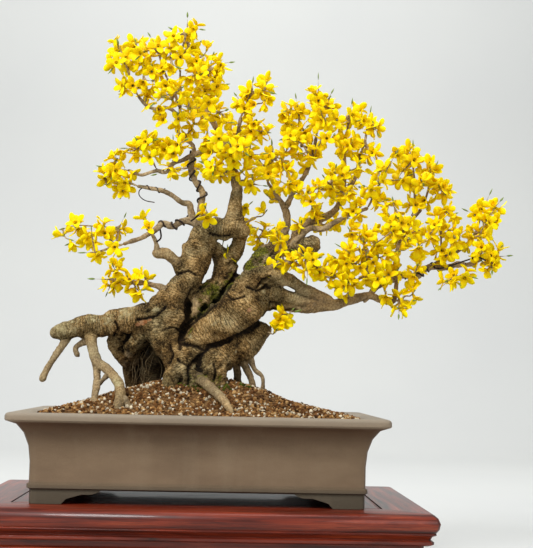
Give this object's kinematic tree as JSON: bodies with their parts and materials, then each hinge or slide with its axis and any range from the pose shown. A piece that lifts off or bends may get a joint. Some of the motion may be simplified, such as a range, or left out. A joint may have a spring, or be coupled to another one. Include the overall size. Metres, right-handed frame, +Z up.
{
  "type": "flowering bonsai",
  "caption": "Old forsythia bonsai in yellow flower, on exposed roots in a shallow clay pot on a moulded wooden stand.",
  "frame": {"origin": "middle of the overall box in x and y, on the soles of the stand", "axes": "+Z up along the tree, +X to the right of the flowering front, +Y from the front to the back"},
  "size_m": [0.7628, 0.4214, 0.8187],
  "materials": {
    "clay": "unglazed, satin",
    "mesh": "matte",
    "soil": "loose baked-clay and pumice grains",
    "rosewood": "glossy",
    "bark": "rough bark",
    "wire": "dark anodised, satin",
    "flower": "soft petals on thin twigs"
  },
  "bodies": {
    "root": {"pot": "clay", "drain_screen_left": "mesh", "drain_screen_right": "mesh", "soil": "soil", "stand_frame": "rosewood", "stand_panel": "rosewood", "stand_apron": "rosewood", "stand_foot_front_left": "rosewood", "stand_foot_front_right": "rosewood", "stand_foot_back_left": "rosewood", "stand_foot_back_right": "rosewood", "tree": "bark", "wire_upright": "wire", "wire_left": "wire", "wire_far_right": "wire", "spray_01": "flower", "spray_02": "flower", "spray_03": "flower", "spray_04": "flower", "spray_05": "flower", "spray_06": "flower", "spray_07": "flower", "spray_08": "flower", "spray_09": "flower", "spray_10": "flower", "spray_11": "flower", "spray_12": "flower", "spray_13": "flower", "spray_14": "flower", "spray_15": "flower", "spray_16": "flower", "spray_17": "flower", "spray_18": "flower", "spray_19": "flower", "spray_20": "flower", "spray_21": "flower", "spray_22": "flower", "spray_23": "flower", "spray_24": "flower", "spray_25": "flower", "spray_26": "flower", "spray_27": "flower", "spray_28": "flower", "spray_29": "flower", "spray_30": "flower", "spray_31": "flower", "spray_32": "flower", "spray_33": "flower", "spray_34": "flower", "spray_35": "flower", "spray_36": "flower", "spray_37": "flower", "spray_38": "flower", "spray_39": "flower", "spray_40": "flower", "spray_41": "flower", "spray_42": "flower", "spray_43": "flower", "spray_44": "flower", "spray_45": "flower"}
  },
  "joints": []
}
